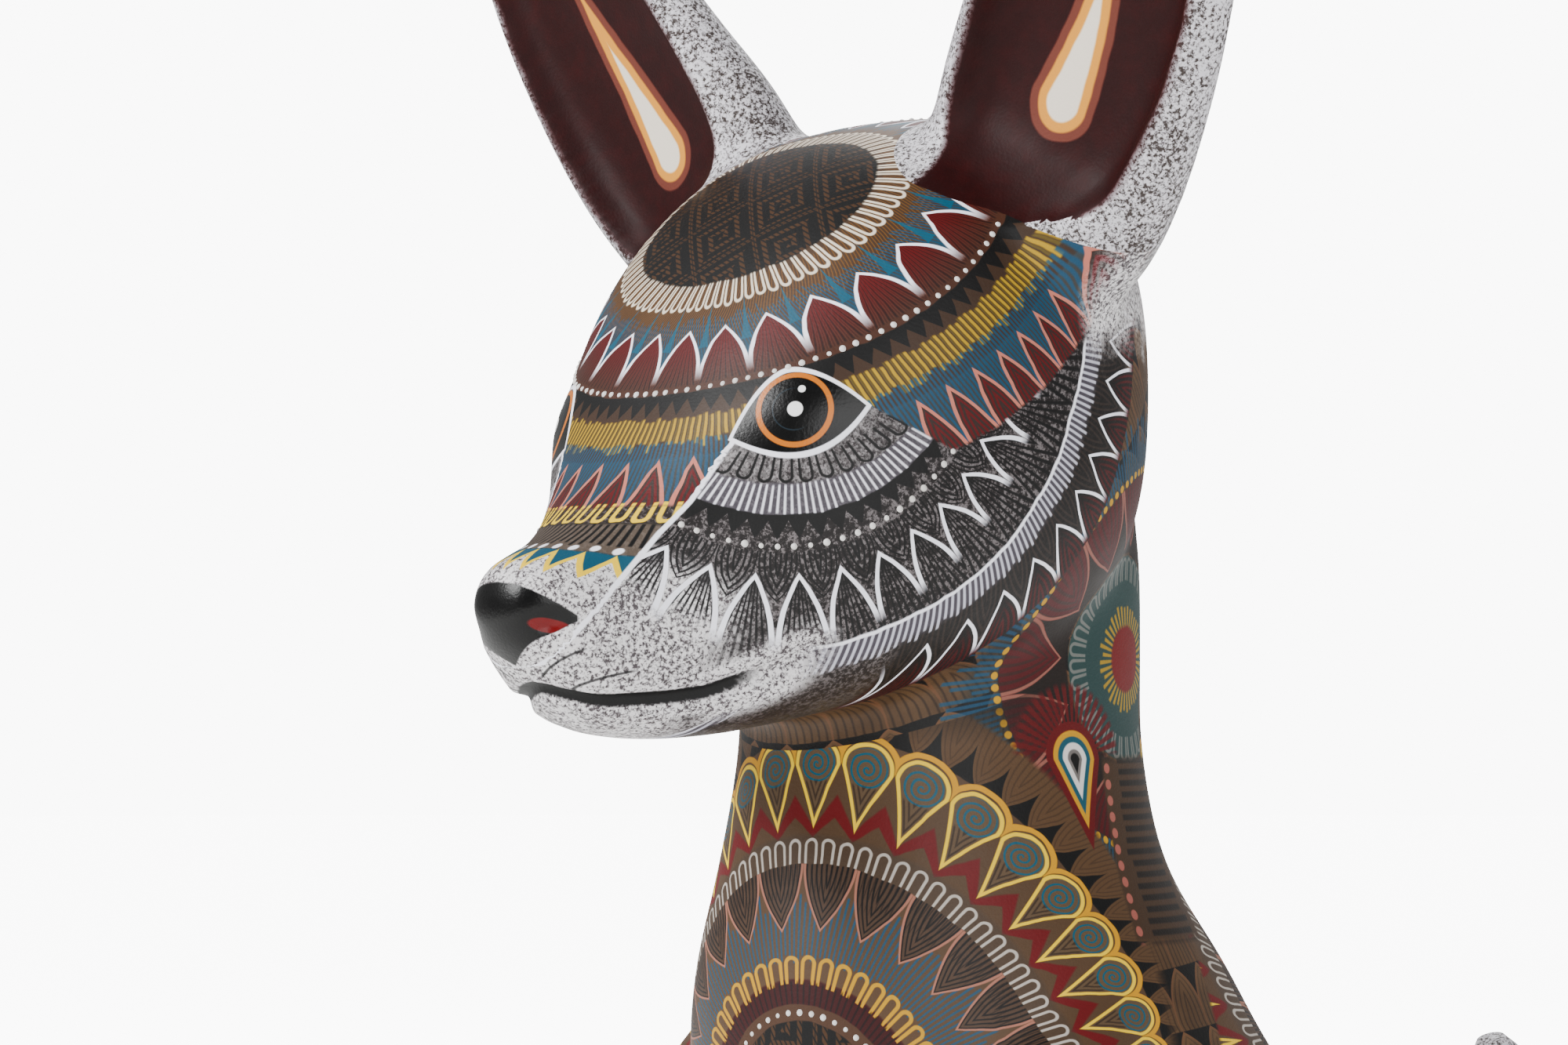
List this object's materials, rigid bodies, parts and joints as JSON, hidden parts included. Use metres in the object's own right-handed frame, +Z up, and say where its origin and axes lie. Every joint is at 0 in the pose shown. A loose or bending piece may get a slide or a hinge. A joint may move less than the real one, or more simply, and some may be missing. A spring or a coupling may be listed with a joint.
{
  "type": "carved fox figure",
  "caption": "Seated long-necked fox figure, carved wood painted all over with fine patterns; its big ears and tail plug in on pegs.",
  "frame": {"origin": "on the ground, under the middle of the figure's bounding box", "axes": "+Z up; the fox looks along -Y; +X is its left side"},
  "size_m": [0.1596, 0.2458, 0.3192],
  "materials": {
    "painted_wood": "fine hand-painted patterns, satin",
    "ear_paint": "hand-painted, semi-gloss",
    "peg_wood": "bare turned wood"
  },
  "bodies": {
    "figure": {"torso": "painted_wood", "head": "painted_wood", "neck_dowel_front": "peg_wood", "neck_dowel_rear": "peg_wood", "front_leg_left": "painted_wood", "front_leg_dowel_left": "peg_wood", "hind_leg_left": "painted_wood", "hind_leg_dowel_front_left": "peg_wood", "hind_leg_dowel_rear_left": "peg_wood", "front_leg_right": "painted_wood", "front_leg_dowel_right": "peg_wood", "hind_leg_right": "painted_wood", "hind_leg_dowel_front_right": "peg_wood", "hind_leg_dowel_rear_right": "peg_wood"},
    "ear_left": {"ear_left": "ear_paint", "ear_peg_left": "peg_wood"},
    "ear_right": {"ear_right": "ear_paint", "ear_peg_right": "peg_wood"},
    "tail": {"tail": "painted_wood", "tail_peg": "peg_wood"}
  },
  "joints": [
    {"name": "ear_left_pull", "type": "slide", "parent": "figure", "child": "ear_left", "axis": [0.5306, -0.2285, 0.8163], "range_m": [0, 0.03]},
    {"name": "ear_right_pull", "type": "slide", "parent": "figure", "child": "ear_right", "axis": [-0.5306, -0.2285, 0.8163], "range_m": [0, 0.03]},
    {"name": "tail_pull", "type": "slide", "parent": "figure", "child": "tail", "axis": [0, 0.8192, 0.5736], "range_m": [0, 0.038]}
  ]
}
